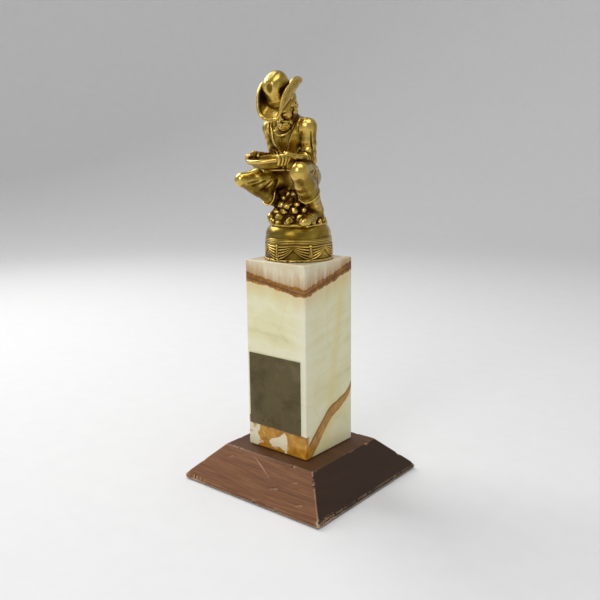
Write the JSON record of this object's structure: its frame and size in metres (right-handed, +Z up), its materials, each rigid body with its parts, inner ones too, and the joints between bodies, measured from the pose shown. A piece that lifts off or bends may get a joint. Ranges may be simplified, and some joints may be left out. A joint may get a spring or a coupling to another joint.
{
  "type": "prospector trophy",
  "caption": "Award trophy: a gilt cast prospector squats with a gold pan on a swagged drum, over a square onyx column with a blank plate and a bevelled wood base.",
  "frame": {"origin": "centre of the underside, on the surface that the trophy stands on", "axes": "+Z up; the figure and the name plate face -Y; +X is the figure's left"},
  "size_m": [0.118, 0.1124, 0.274],
  "materials": {
    "gilt": "aged gilt over cast metal, dark in the hollows",
    "plate_brass": "dull tarnished sheet",
    "onyx": "polished, with brown veins",
    "walnut": "stained and lacquered, worn at the edges",
    "felt": "felt",
    "card": "pressed fibre",
    "tape": "adhesive film",
    "steel": "zinc plated"
  },
  "bodies": {
    "root": {"prospector_figure": "gilt", "gold_pan": "gilt", "swag_drum": "gilt", "name_plate": "plate_brass", "onyx_column": "onyx", "wood_base": "walnut", "felt_pad": "felt", "base_cushion": "card", "drum_cushion": "card", "name_plate_tape": "tape", "tie_rod": "steel", "anchor_nut": "steel", "hex_nut": "steel", "flat_washer": "steel", "lock_washer": "steel"}
  },
  "joints": []
}
